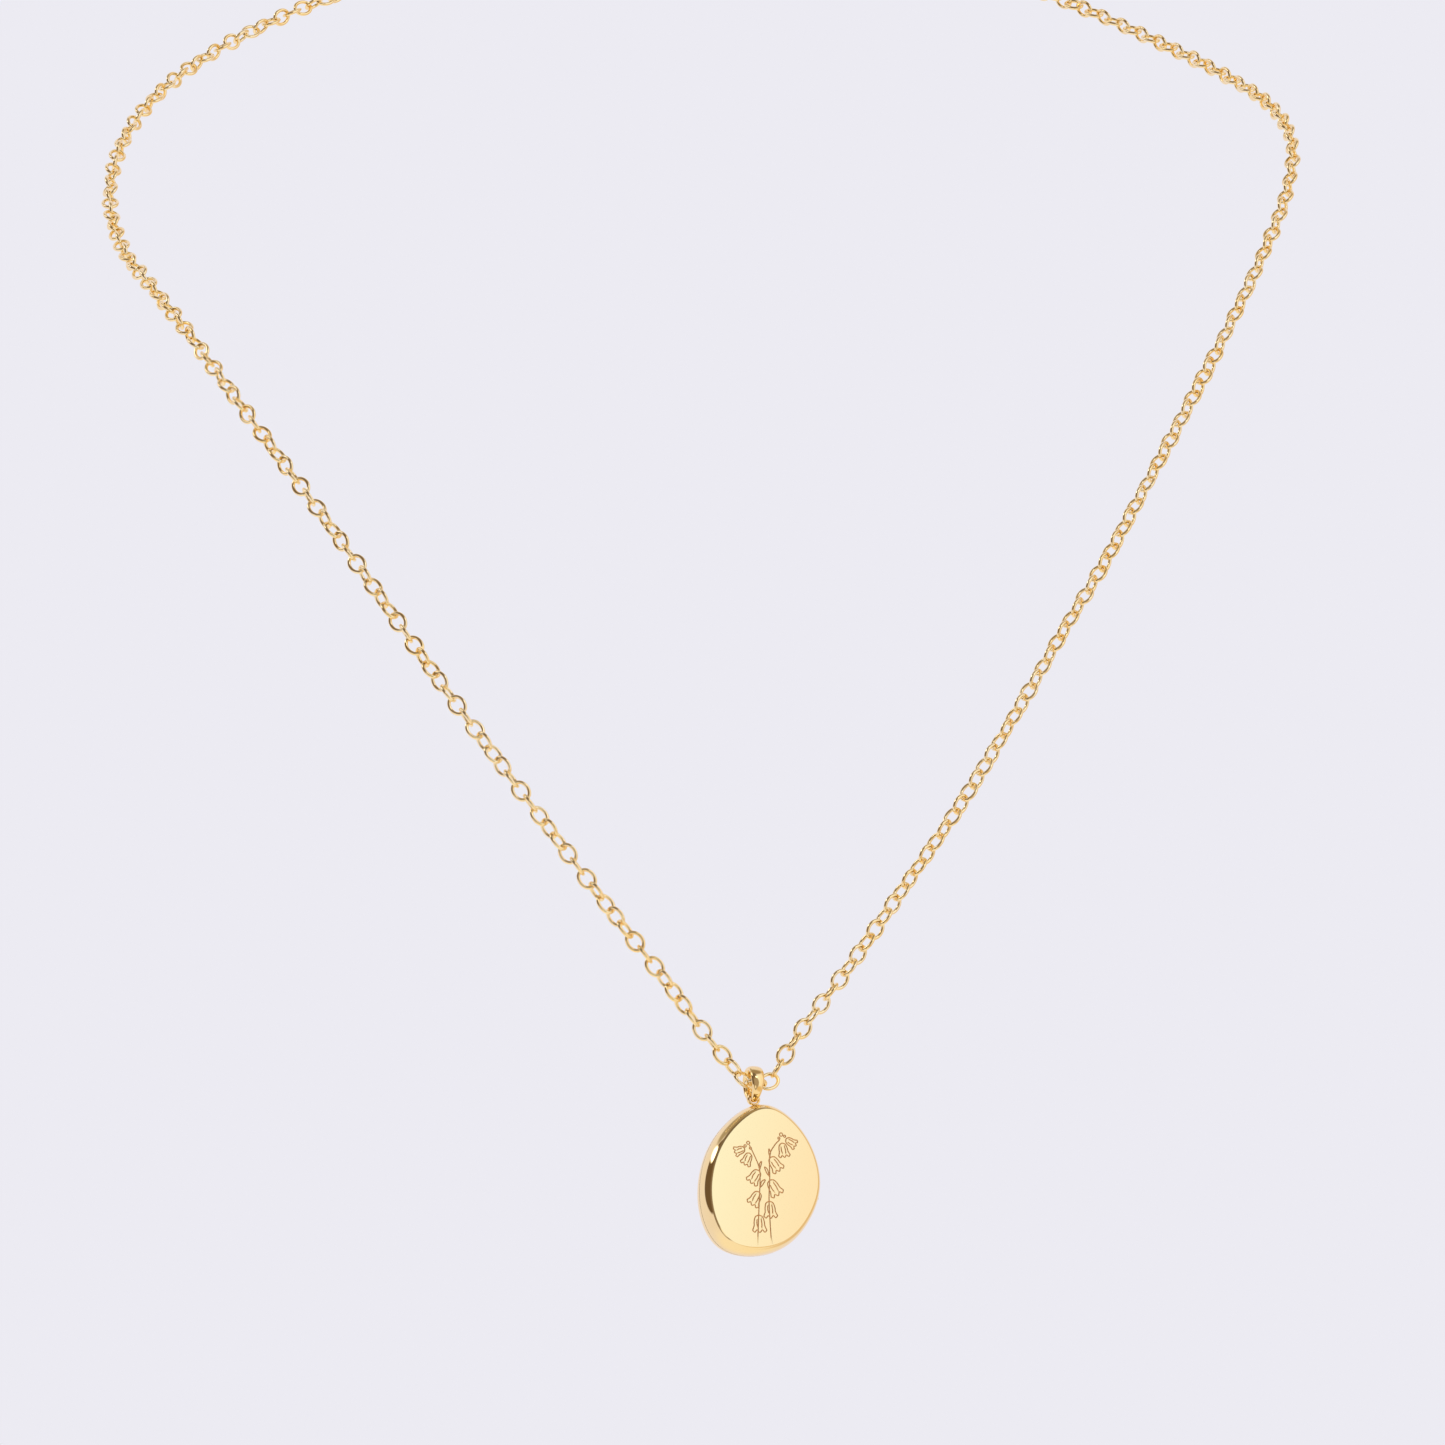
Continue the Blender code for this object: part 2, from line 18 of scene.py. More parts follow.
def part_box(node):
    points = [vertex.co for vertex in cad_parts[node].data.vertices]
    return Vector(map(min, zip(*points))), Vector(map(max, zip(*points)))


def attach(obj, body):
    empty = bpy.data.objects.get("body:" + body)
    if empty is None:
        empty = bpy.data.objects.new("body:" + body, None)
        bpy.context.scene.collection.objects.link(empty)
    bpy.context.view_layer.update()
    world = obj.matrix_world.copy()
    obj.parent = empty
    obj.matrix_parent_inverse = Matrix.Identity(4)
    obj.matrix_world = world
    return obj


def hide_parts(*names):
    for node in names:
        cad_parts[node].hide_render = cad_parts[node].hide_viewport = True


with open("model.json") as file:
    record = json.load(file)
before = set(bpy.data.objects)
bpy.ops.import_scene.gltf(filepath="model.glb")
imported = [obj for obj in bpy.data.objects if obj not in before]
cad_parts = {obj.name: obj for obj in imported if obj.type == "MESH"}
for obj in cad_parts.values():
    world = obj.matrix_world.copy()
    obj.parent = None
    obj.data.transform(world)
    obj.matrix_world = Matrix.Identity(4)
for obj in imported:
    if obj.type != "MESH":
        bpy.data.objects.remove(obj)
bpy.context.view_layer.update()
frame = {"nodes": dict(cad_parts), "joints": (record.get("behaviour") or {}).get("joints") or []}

MM = 0.001
JOINTS = {joint["name"]: joint for joint in frame["joints"]}

# Sizes that the CAD part states, repeated here.
GAP = 0.04
BAIL_RADIUS = 1.62
BAIL_HALF_THICK = 0.325
BAIL_LOW_HALF_WIDE = 0.40
EYE_HALF_THICK = 0.13
EYE_HALF_WIDE = 0.24
EYE_BEHIND = 0.30
EYE_AIR = 0.08
FACE_MIDDLE = (0.5, -10.3)
# The face's edge. A least-squares fit made these points and they were rounded: they were not chosen by hand.
FACE_EDGE = (
    (0.25, 7.4),
    (3.35, 5.9),
    (5.35, 3.05),
    (6.0, -0.35),
    (4.9, -3.65),
    (2.6, -6.25),
    (-0.7, -7.4),
    (-4.05, -6.75),
    (-5.8, -3.8),
    (-5.95, -0.3),
    (-4.9, 3.05),
    (-2.75, 5.8),
)
WALL_BULGE = 0.72
HALF_DEPTH = 1.72
EDGE_TURN = math.radians(15)
SHELL_FACE = 0.35
CAVITY = -0.08
SEAM = 0.03
PHOTO_THICK = 0.15
WINDOW_THICK = 0.2
FRAME_THICK = 0.3
FRAME_BAND = 0.9
STACK_GAP = 0.03
RIM_THICK = 0.25
RIM_BEHIND = 0.40
RIM_AHEAD = 0.30
KNUCKLE_OUTER = 0.32
KNUCKLE_BORE = 0.18
KNUCKLE_LONG = 0.9
PIN_RADIUS = 0.15
LINK_WIRE = 0.2
LINK_LONG = 2.5
LINK_WIDE = 2.0
CLASP_RADIUS = 2.5
CLASP_TUBE = 0.75
CLASP_BORE = 0.5
CLASP_EYE_X = -4.1
CLASP_EYE_RADIUS = 0.75
CLASP_EYE_WIRE = 0.25
GATE_FROM = 70
GATE_TO = 108
BORE_PAST_GATE = 6
TIP_SEAT = 10
BOLT_FROM = 63
BOLT_TO = 150
NUB_AT = 118
NUB_TRAVEL_TO = 164
BORE_END = 290
BOLT_RADIUS = 0.42
NUB_RADIUS = 0.18
NUB_ROOT = 0.1
NUB_TIP = 1.15
NUB_SLOT_OUT = 0.65
NUB_SLOT_RADIUS = 0.26

# Where the visible skin departs from the CAD part: a wider bail ring with squared shoulders, turned about the
# upright (half width 0.65 mm and unturned in CAD), and a larger recess round the hinge (radius 0.48 mm and
# half length 1.9 mm in CAD).
BAIL_SQUARE = 0.9
BAIL_FULL_HALF_WIDE = 0.76
BAIL_TURN = math.radians(-6)
HINGE_CLEAR = 0.56
HINGE_RUN = 2.6

# The strands' routes from the bail to the nape, in metres: the CAD tubes' points without their first ones.
LEFT_ROUTE = (
    (0.0010, -0.0460, -0.1010),
    (-0.0035, -0.0468, -0.0950),
    (-0.0090, -0.0477, -0.0880),
    (-0.0150, -0.0482, -0.0800),
    (-0.0210, -0.0480, -0.0718),
    (-0.0270, -0.0468, -0.0633),
    (-0.0330, -0.0445, -0.0542),
    (-0.0390, -0.0416, -0.0450),
    (-0.0450, -0.0378, -0.0360),
    (-0.0505, -0.0332, -0.0275),
    (-0.0555, -0.0265, -0.0192),
    (-0.0600, -0.0182, -0.0118),
    (-0.0635, -0.0095, -0.0053),
    (-0.0655, 0.0005, 0.0028),
    (-0.0650, 0.0100, 0.0115),
    (-0.0615, 0.0200, 0.0205),
    (-0.0545, 0.0295, 0.0290),
    (-0.0440, 0.0380, 0.0368),
    (-0.0315, 0.0445, 0.0428),
    (-0.0185, 0.0488, 0.0468),
    (-0.0083, 0.0500, 0.0480),
)
RIGHT_ROUTE = (
    (0.0110, -0.0440, -0.0999),
    (0.0160, -0.0433, -0.0930),
    (0.0220, -0.0424, -0.0840),
    (0.0282, -0.0411, -0.0745),
    (0.0344, -0.0390, -0.0637),
    (0.0393, -0.0364, -0.0546),
    (0.0436, -0.0333, -0.0468),
    (0.0481, -0.0292, -0.0376),
    (0.0527, -0.0244, -0.0280),
    (0.0576, -0.0188, -0.0174),
    (0.0620, -0.0128, -0.0070),
    (0.0650, -0.0068, 0.0017),
    (0.0660, -0.0004, 0.0092),
    (0.0642, 0.0080, 0.0158),
    (0.0595, 0.0170, 0.0220),
    (0.0520, 0.0270, 0.0290),
    (0.0420, 0.0365, 0.0365),
    (0.0305, 0.0438, 0.0428),
    (0.0180, 0.0484, 0.0469),
    (0.0066, 0.0500, 0.0480),
)

# How finely the visible surfaces are made.
OUTLINE_STEPS = 240
WALL_STEPS = 18
LINK_STEPS = 30
LINK_SIDES = 12
RING_STEPS = 96
ARC_STEP = 3

# Engraving: half the cut's width, its depth, and the spacing of points along a stroke.
CUT_HALF = 0.065
CUT_DEPTH = 0.035
CUT_STEP = 0.09

# The two sprigs' stems, and where their bell flowers hang: x, z, size and lean in degrees from straight down.
# The stems' points and the flowers' places are rounded measurements of the real engraving's layout.
STEMS = (
    ((-0.85, -6.3), (-0.72, -3.1), (-0.6, -0.1), (-0.75, 1.2), (-1.35, 2.5), (-1.8, 3.35)),
    ((0.65, -6.3), (0.52, -4.4), (0.42, -2.2), (0.5, 0.0), (0.5, 2.4), (1.05, 3.55), (1.6, 4.15)),
)
BELLS = (
    (-0.75, 0.75, 1.55, -32),
    (-0.7, -1.55, 1.55, -30),
    (-0.75, -4.0, 1.7, 4),
    (-1.75, 2.5, 1.3, -25),
    (-2.35, 2.95, 1.15, -68),
    (0.6, 2.25, 1.6, 36),
    (0.5, -0.2, 1.7, 32),
    (0.45, -2.45, 1.65, 6),
    (1.9, 3.85, 1.4, 12),
    (2.35, 4.3, 1.2, 62),
)
LEAVES = (
    ((0.45, 0.2), (0.15, 0.55), (-0.1, 1.15), (0.25, 0.9), (0.45, 0.2)),
    ((-0.62, -1.1), (-0.3, -0.75), (0.0, -0.2), (-0.42, -0.42), (-0.62, -1.1)),
    ((-0.62, 0.9), (-0.5, 1.3), (-0.42, 1.75), (-0.68, 1.4), (-0.62, 0.9)),
    ((0.5, 2.3), (0.4, 2.7), (0.42, 3.15), (0.58, 2.75), (0.5, 2.3)),
)
BUDS = (
    (-1.95, 3.6, 0.34),
    (-2.3, 3.25, 0.26),
    (-1.7, 3.05, 0.24),
    (1.8, 4.75, 0.36),
    (1.55, 4.35, 0.24),
    (2.2, 4.6, 0.24),
)

# One bell flower hanging from (0, 0), for a length of 1: its sides, its scalloped rim and its folds.
BELL = (
    ((0.0, 0.0), (0.24, -0.12), (0.34, -0.42), (0.36, -0.68), (0.48, -0.95)),
    ((0.0, 0.0), (-0.24, -0.12), (-0.34, -0.42), (-0.36, -0.68), (-0.48, -0.95)),
    (
        (0.48, -0.95),
        (0.33, -1.08),
        (0.18, -0.93),
        (0.0, -1.1),
        (-0.18, -0.93),
        (-0.33, -1.08),
        (-0.48, -0.95),
    ),
    ((0.14, -0.25), (0.17, -0.55), (0.15, -0.78)),
    ((-0.14, -0.3), (-0.16, -0.55), (-0.12, -0.75)),
)

# Camera: where it stands, how far it looks up, and its lens.
CAMERA_AT = (0.00263, -1.22402, -0.33260)
CAMERA_PITCH = 12.7
CAMERA_LENS = 284.0

# The floor and the lamp, in metres.
FLOOR_HALF = 4.0
FLOOR_AT = -0.42
LAMP_ACROSS = 0.5
LAMP_AWAY = 1.4
LAMP_WATTS = 6.0


def pendant_place():
    """The pendant's frame in the world, from the swing joint's axis and the bail ring's box."""
    across = Vector(JOINTS["bail_swing"]["axis"]).normalized()
    up = Vector((0, 0, 1))
    turn = Matrix((across, up.cross(across), up)).transposed()
    low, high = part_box("bail_ring")
    origin = (low + high) / 2 - turn @ Vector((0, EYE_BEHIND * MM, 0))
    return Matrix.Translation(origin) @ turn.to_4x4()


PENDANT = pendant_place()


# ---------------------------------------------------------------- meshes


def piece_from(data, look, body, replaces=(), place=None, sharp=40.0):
    """A smooth-shaded piece riding on a body and standing for CAD nodes, named after its mesh."""
    if place is not None:
        data.transform(place)
    if not data.materials:
        data.materials.append(look)
    data.shade_smooth()
    data.set_sharp_from_angle(angle=math.radians(sharp))
    piece = bpy.data.objects.new(data.name, data)
    bpy.context.scene.collection.objects.link(piece)
    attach(piece, body)
    if replaces:
        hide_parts(*replaces)
    return piece


def mesh_of(name, points, faces):
    """A mesh in metres from points in millimetres."""
    data = bpy.data.meshes.new(name)
    data.from_pydata([tuple(float(v) * MM for v in p) for p in points], [], faces)
    data.update()
    return data


def mesh_piece(name, points, faces, look, body, replaces=(), place=None, sharp=40.0):
    return piece_from(mesh_of(name, points, faces), look, body, replaces, place, sharp)


def welded(data):
    """The same mesh with coincident points joined and its faces turned outwards."""
    work = bmesh.new()
    work.from_mesh(data)
    bmesh.ops.remove_doubles(work, verts=work.verts, dist=1e-7)
    bmesh.ops.recalc_face_normals(work, faces=work.faces)
    work.to_mesh(data)
    work.free()
    return data


def evaluated(obj):
    """The object's finished mesh. The object itself is removed."""
    bpy.context.view_layer.update()
    data = bpy.data.meshes.new_from_object(obj.evaluated_get(bpy.context.evaluated_depsgraph_get()))
    bpy.data.objects.remove(obj)
    return data


def wire_mesh(name, points, radius):
    """A capped round wire through the given points, in millimetres."""
    curve = bpy.data.curves.new(name, "CURVE")
    curve.dimensions = "3D"
    curve.bevel_depth = radius * MM
    curve.bevel_resolution = 6
    curve.use_fill_caps = True
    spline = curve.splines.new("POLY")
    spline.points.add(len(points) - 1)
    for point, co in zip(spline.points, points):
        point.co = (*(Vector(co) * MM), 1)
    obj = bpy.data.objects.new(name, curve)
    bpy.context.scene.collection.objects.link(obj)
    data = welded(evaluated(obj))
    data.name = name
    return data


def combined(data, cuts, joins=()):
    """The mesh with some meshes joined to it and then others cut from it."""
    target = bpy.data.objects.new("target", data)
    bpy.context.scene.collection.objects.link(target)
    tools = []
    for operation, meshes in (("UNION", joins), ("DIFFERENCE", cuts)):
        for mesh in meshes:
            tool = bpy.data.objects.new("tool", mesh)
            bpy.context.scene.collection.objects.link(tool)
            tools.append(tool)
            step = target.modifiers.new(operation, "BOOLEAN")
            step.operation = operation
            step.solver = "EXACT"
            step.object = tool
    name = data.name
    made = evaluated(target)
    for tool in tools:
        bpy.data.objects.remove(tool)
    data.name = name + "_blank"
    made.name = name
    return made


def rod(name, radius, low, high, at=(0, 0), sides=64):
    """A bar along Z with its edges just broken, round (x, y)."""
    edge = min(0.03, radius / 3)
    profile = ((radius - edge, low), (radius, low + edge), (radius, high - edge), (radius - edge, high))
    points = [(at[0], at[1], low)]
    for r, z in profile:
        for t in np.linspace(0, 2 * np.pi, sides, endpoint=False):
            points.append((at[0] + r * math.cos(t), at[1] + r * math.sin(t), z))
    points.append((at[0], at[1], high))
    faces = grid_faces(4, sides, False, True, 1)
    last = len(points) - 1
    for i in range(sides):
        j = (i + 1) % sides
        faces.append((0, 1 + j, 1 + i))
        faces.append((last, last - sides + i, last - sides + j))
    return welded(mesh_of(name, points, faces))


def arc(radius, start, end):
    """Points on an arc in the XZ plane, angles in degrees from +X towards +Z."""
    turns = np.radians(np.linspace(start, end, max(3, round(abs(end - start) / ARC_STEP)) + 1))
    return [Vector((radius * math.cos(t), 0, radius * math.sin(t))) for t in turns]


def grid_faces(rings, sides, closed_rings, closed_sides, start=0):
    """Quads between successive rings of equally many points."""
    faces = []
    for i in range(rings if closed_rings else rings - 1):
        a, b = start + i * sides, start + ((i + 1) % rings) * sides
        for j in range(sides if closed_sides else sides - 1):
            k = (j + 1) % sides
            faces.append((a + j, a + k, b + k, b + j))
    return faces


def oval_loop(half_x, half_z, steps):
    """A closed planar loop's points and outward directions, round the origin in XZ."""
    t = np.linspace(0, 2 * np.pi, steps, endpoint=False)
    points = np.stack([half_x * np.cos(t), 0 * t, half_z * np.sin(t)], 1)
    outwards = np.stack([np.cos(t) / half_x, 0 * t, np.sin(t) / half_z], 1)
    outwards /= np.linalg.norm(outwards, axis=1)[:, None]
    return points, outwards


def ring_tube(points, outwards, normal, radial, axial, sides):
    """A closed tube of oval section: radial half thickness outwards, axial half width along the normal."""
    s = np.linspace(0, 2 * np.pi, sides, endpoint=False)
    normal = np.asarray(normal, float)
    tube = (
        points[:, None, :]
        + outwards[:, None, :] * (radial * np.cos(s))[None, :, None]
        + normal[None, None, :] * (axial * np.sin(s))[None, :, None]
    )
    return tube.reshape(-1, 3), grid_faces(len(points), sides, True, True)


def closed_spline(points, count):
    """Evenly spread points on the periodic cubic curve through the given ones."""
    knots = np.asarray(points, float)
    n = len(knots)
    system = 4 * np.eye(n) + np.roll(np.eye(n), 1, 0) + np.roll(np.eye(n), -1, 0)
    slope = np.linalg.solve(system, 3 * (np.roll(knots, -1, 0) - np.roll(knots, 1, 0)))
    fine = []
    for k in range(n):
        a, b = knots[k], knots[(k + 1) % n]
        va, vb = slope[k], slope[(k + 1) % n]
        for t in np.arange(0, 1, 1 / 40):
            fine.append(
                a * (1 - 3 * t**2 + 2 * t**3)
                + b * (3 * t**2 - 2 * t**3)
                + va * (t - 2 * t**2 + t**3)
                + vb * (t**3 - t**2)
            )
    fine.append(fine[0])
    fine = np.array(fine)
    run = np.r_[0, np.cumsum(np.linalg.norm(np.diff(fine, axis=0), axis=1))]
    want = np.linspace(0, run[-1], count, endpoint=False)
    return np.stack([np.interp(want, run, fine[:, i]) for i in range(fine.shape[1])], 1)


def open_spline(points, per_span=20):
    """Points along a smooth curve through the given ones, ends included."""
    knots = [Vector(p) for p in points]
    knots = [2 * knots[0] - knots[1], *knots, 2 * knots[-1] - knots[-2]]
    fine = []
    for k in range(1, len(knots) - 2):
        before, a, b, after = knots[k - 1 : k + 3]
        for t in np.arange(0, 1, 1 / per_span):
            fine.append(
                a
                + (b - before) * (t / 2)
                + (2 * before - 5 * a + 4 * b - after) * (t**2 / 2)
                + (3 * a - before - 3 * b + after) * (t**3 / 2)
            )
    fine.append(knots[-2])
    return np.array(fine)


def outline(grow):
    """The face's edge grown outwards by so much, as (x, z) in the pendant's frame."""
    edge = closed_spline(FACE_EDGE, OUTLINE_STEPS)
    along = np.roll(edge, -1, 0) - np.roll(edge, 1, 0)
    along /= np.linalg.norm(along, axis=1)[:, None]
    outwards = np.stack([-along[:, 1], along[:, 0]], 1)
    return edge + outwards * grow + np.array(FACE_MIDDLE)


# ---------------------------------------------------------------- materials


class Nodes:
    """Short calls for building a node tree."""

    def __init__(self, tree):
        self.tree = tree

    def new(self, kind, **settings):
        node = self.tree.nodes.new(kind)
        for name, value in settings.items():
            setattr(node, name, value)
        return node

    def link(self, source, target):
        self.tree.links.new(source, target)

    def put(self, socket, value):
        if isinstance(value, bpy.types.NodeSocket):
            self.link(value, socket)
        else:
            socket.default_value = value

    def maths(self, operation, *values, clamp=False):
        node = self.new("ShaderNodeMath", operation=operation, use_clamp=clamp)
        for socket, value in zip(node.inputs, values):
            self.put(socket, value)
        return node.outputs[0]

    def mix(self, factor, one, two):
        node = self.new("ShaderNodeMix", data_type="RGBA")
        self.put(node.inputs["Factor"], factor)
        self.put(node.inputs[6], one)
        self.put(node.inputs[7], two)
        return node.outputs[2]

    def ramp(self, value, low, high, to_low=0.0, to_high=1.0, smooth=True):
        node = self.new("ShaderNodeMapRange", interpolation_type="SMOOTHSTEP" if smooth else "LINEAR")
        for socket, entry in zip(node.inputs, (value, low, high, to_low, to_high)):
            self.put(socket, entry)
        return node.outputs[0]

    def noise(self, scale, detail=3.0, roughness=0.5, distortion=0.0, where=None):
        node = self.new("ShaderNodeTexNoise")
        node.inputs["Scale"].default_value = scale
        node.inputs["Detail"].default_value = detail
        node.inputs["Roughness"].default_value = roughness
        node.inputs["Distortion"].default_value = distortion
        if where is not None:
            self.link(where, node.inputs["Vector"])
        return node.outputs["Fac"]


def start_material(name, metallic, roughness):
    made = bpy.data.materials.new(name)
    made.use_nodes = True
    shader = made.node_tree.nodes["Principled BSDF"]
    shader.inputs["Metallic"].default_value = metallic
    shader.inputs["Roughness"].default_value = roughness
    nodes = Nodes(made.node_tree)
    where = nodes.new("ShaderNodeTexCoord").outputs["Object"]
    return made, shader, nodes, where


def gold(name, pale, deep, smooth, worn, grain=0.02):
    """Polished gold plate: a slow change of tone, cloudy polish and hairline scratches."""
    made, shader, nodes, where = start_material(name, 1.0, smooth)
    tone = nodes.noise(260.0, 2.0, where=where)
    nodes.link(nodes.mix(nodes.ramp(tone, 0.35, 0.65), (*pale, 1), (*deep, 1)), shader.inputs["Base Color"])
    polish(nodes, shader, where, smooth, worn, grain)
    return made


def polish(nodes, shader, where, smooth, worn, grain):
    """Cloudy polish and hairline scratches on a metal."""
    cloud = nodes.noise(900.0, 4.0, 0.6, where=where)
    nodes.link(nodes.ramp(cloud, 0.4, 0.75, smooth, worn), shader.inputs["Roughness"])
    stretch = nodes.new("ShaderNodeMapping")
    stretch.inputs["Rotation"].default_value = (0.3, 0.5, 0.9)
    stretch.inputs["Scale"].default_value = (1.0, 14.0, 14.0)
    nodes.link(where, stretch.inputs["Vector"])
    hairs = nodes.noise(1400.0, 2.0, where=stretch.outputs["Vector"])
    bump = nodes.new("ShaderNodeBump")
    bump.inputs["Strength"].default_value = grain
    bump.inputs["Distance"].default_value = 0.00002
    nodes.link(hairs, bump.inputs["Height"])
    nodes.link(bump.outputs["Normal"], shader.inputs["Normal"])


def gold_with_painted_reflection():
    """The mirror-polished face. Its colour is painted a little redder towards the hinge and the bottom: a
    painted reflection gradient, standing in for the changing reflection across the polished face.
    """
    made, shader, nodes, where = start_material("face_gold_painted_reflection", 1.0, 0.05)
    place = nodes.new("ShaderNodeSeparateXYZ")
    nodes.link(where, place.inputs[0])
    # Painted reflection: the base colour runs from pale at the upper left to warmer at the lower right across
    # the face.
    across = nodes.maths("SUBTRACT", place.outputs["X"], nodes.maths("MULTIPLY", place.outputs["Z"], 0.25))
    middle = 0.0067 + 0.1162 * 0.25
    tone = nodes.ramp(across, middle - 0.006, middle + 0.0065, smooth=False)
    nodes.link(nodes.mix(tone, (1.0, 0.885, 0.53, 1), (1.0, 0.77, 0.42, 1)), shader.inputs["Base Color"])
    polish(nodes, shader, where, 0.04, 0.07, 0.01)
    return made


def engraved_gold():
    """The cut lines: matt, warmer and darker than the polished face."""
    made, shader, nodes, where = start_material("engraved_gold", 1.0, 0.5)
    grain = nodes.noise(9000.0, 3.0, 0.7, where=where)
    nodes.link(nodes.mix(grain, (0.72, 0.40, 0.17, 1), (0.88, 0.56, 0.28, 1)), shader.inputs["Base Color"])
    nodes.link(nodes.ramp(grain, 0.3, 0.7, 0.38, 0.62), shader.inputs["Roughness"])
    return made


def steel_wire():
    made, shader, nodes, where = start_material("drawn_steel", 1.0, 0.28)
    streaks = nodes.noise(2600.0, 3.0, where=where)
    nodes.link(nodes.mix(streaks, (0.50, 0.49, 0.47, 1), (0.68, 0.67, 0.64, 1)), shader.inputs["Base Color"])
    nodes.link(nodes.ramp(streaks, 0.3, 0.7, 0.2, 0.38), shader.inputs["Roughness"])
    return made


def photo_card():
    """A blank matt card: paper fibres under a thin coating."""
    made, shader, nodes, where = start_material("photo_paper", 0.0, 0.6)
    fibres = nodes.noise(3200.0, 5.0, 0.65, 0.6, where=where)
    nodes.link(nodes.mix(fibres, (0.84, 0.80, 0.72, 1), (0.93, 0.90, 0.84, 1)), shader.inputs["Base Color"])
    nodes.link(nodes.ramp(fibres, 0.3, 0.7, 0.5, 0.72), shader.inputs["Roughness"])
    bump = nodes.new("ShaderNodeBump")
    bump.inputs["Strength"].default_value = 0.15
    bump.inputs["Distance"].default_value = 0.00002
    nodes.link(fibres, bump.inputs["Height"])
    nodes.link(bump.outputs["Normal"], shader.inputs["Normal"])
    return made


def clear_film():
    made, shader, nodes, where = start_material("clear_film", 0.0, 0.04)
    shader.inputs["Base Color"].default_value = (0.97, 0.98, 0.98, 1)
    shader.inputs["Transmission Weight"].default_value = 1.0
    shader.inputs["IOR"].default_value = 1.46
    haze = nodes.noise(1500.0, 3.0, where=where)
    nodes.link(nodes.ramp(haze, 0.45, 0.8, 0.02, 0.09), shader.inputs["Roughness"])
    return made


PALE_GOLD = (1.0, 0.80, 0.42)
WARM_GOLD = (0.98, 0.74, 0.35)
DEEP_GOLD = (0.94, 0.66, 0.27)

face_gold_painted_reflection = gold_with_painted_reflection()
case_gold = gold("case_gold", (1.0, 0.82, 0.46), PALE_GOLD, 0.04, 0.08)
bail_gold = gold("bail_gold", (1.0, 0.80, 0.42), WARM_GOLD, 0.04, 0.08)
chain_gold = gold("chain_gold", (1.0, 0.86, 0.55), PALE_GOLD, 0.04, 0.09)
fitting_gold = gold("fitting_gold", PALE_GOLD, WARM_GOLD, 0.06, 0.12)
inner_gold = gold("inner_gold", WARM_GOLD, DEEP_GOLD, 0.16, 0.30, 0.05)
cut_gold = engraved_gold()
steel = steel_wire()
paper = photo_card()
film = clear_film()


# ---------------------------------------------------------------- chain


def link_axes(along, front):
    """The two directions across a link's length: the one most towards the front, and the third."""
    along = Vector(along).normalized()
    facing = (front - front.dot(along) * along).normalized()
    return along, facing, along.cross(facing)


def link_points(centre, along, normal):
    """One oval wire link round its centre, in millimetres, with its length along and its plane's normal."""
    loop, outwards = oval_loop(LINK_LONG / 2 - LINK_WIRE, LINK_WIDE / 2 - LINK_WIRE, LINK_STEPS)
    tube, faces = ring_tube(loop, outwards, (0, 1, 0), LINK_WIRE, LINK_WIRE, LINK_SIDES)
    along = np.array(along)
    normal = np.array(normal)
    across = np.cross(along, normal)
    turned = tube[:, 0:1] * along + tube[:, 1:2] * normal + tube[:, 2:3] * across
    return turned + np.array(centre), faces


def node_link(node):
    """A CAD link's centre, length direction and plane normal, from its own mesh."""
    points = np.array([v.co for v in frame["nodes"][node].data.vertices]) / MM
    points = np.unique(points.round(5), axis=0)
    centre = (points.max(0) + points.min(0)) / 2
    spread = np.linalg.eigh(np.cov((points - points.mean(0)).T))[1]
    return Vector(centre), Vector(spread[:, 2]), Vector(spread[:, 0])


# What the links' faces are turned to: straight out of the chest, a little down.
FRONT = Vector((0, -0.975, -0.22))
LINK_PITCH = LINK_LONG - 4 * LINK_WIRE - 0.02


def roll_of(along, normal):
    """How far a link's plane is turned about its length from facing the front, in degrees."""
    along, facing, third = link_axes(along, FRONT)
    return math.degrees(math.atan2(Vector(normal).dot(third), Vector(normal).dot(facing)))


def make_strand(side, route, turn_per_link, twist, twist_over, seed):
    """A strand of real links from the side link to the end link."""
    chance = random.Random(seed)
    start, start_along, start_normal = node_link(f"{side}_side_link")
    end, _, end_normal = node_link(f"{side}_end_link")
    line = open_spline([start, *[Vector(p) / MM for p in route[:-1]], end])
    run = np.r_[0, np.cumsum(np.linalg.norm(np.diff(line, axis=0), axis=1))]
    count = round(run[-1] / LINK_PITCH)

    def on_line(s):
        return Vector([np.interp(s, run, line[:, i]) for i in range(3)])

    pitch = run[-1] / count
    first = Vector(line[1] - line[0])
    last = Vector(line[-1] - line[-2])
    roll_from = roll_of(first, start_normal)
    roll_to = roll_of(last, end_normal) + twist * (1 if twist_over else 0)
    half_turns = round((turn_per_link * count - (roll_to - twist - roll_from)) / 180)
    step = (roll_to - twist - roll_from + 180 * half_turns) / count
    points, faces = [], []
    total = 0
    for k in range(1, count):
        here = on_line(k * pitch)
        along = on_line(min(k * pitch + pitch / 2, run[-1])) - on_line(k * pitch - pitch / 2)
        along, facing, third = link_axes(along, FRONT)
        eased = min(1.0, k * pitch / twist_over) if twist_over else 0.0
        fade = min(1.0, (count - k) / 20)
        roll = math.radians(roll_from + step * k + twist * eased * fade + chance.uniform(-9, 9))
        normal = facing * math.cos(roll) + third * math.sin(roll)
        one, quads = link_points(here, along, normal)
        faces += [tuple(i + total for i in quad) for quad in quads]
        points.append(one)
        total += len(one)
    name = f"{side}_chain"
    piece = mesh_piece(
        f"{name}_links", np.concatenate(points), faces, chain_gold, "chain", [name]
    )
    return piece


def make_single_links():
    for node in ("centre_link", "left_side_link", "right_side_link", "left_end_link", "right_end_link"):
        centre, along, normal = node_link(node)
        points, faces = link_points(centre, along, normal)
        mesh_piece(f"{node}_wire", points, faces, chain_gold, "chain", [node])


# ---------------------------------------------------------------- pendant


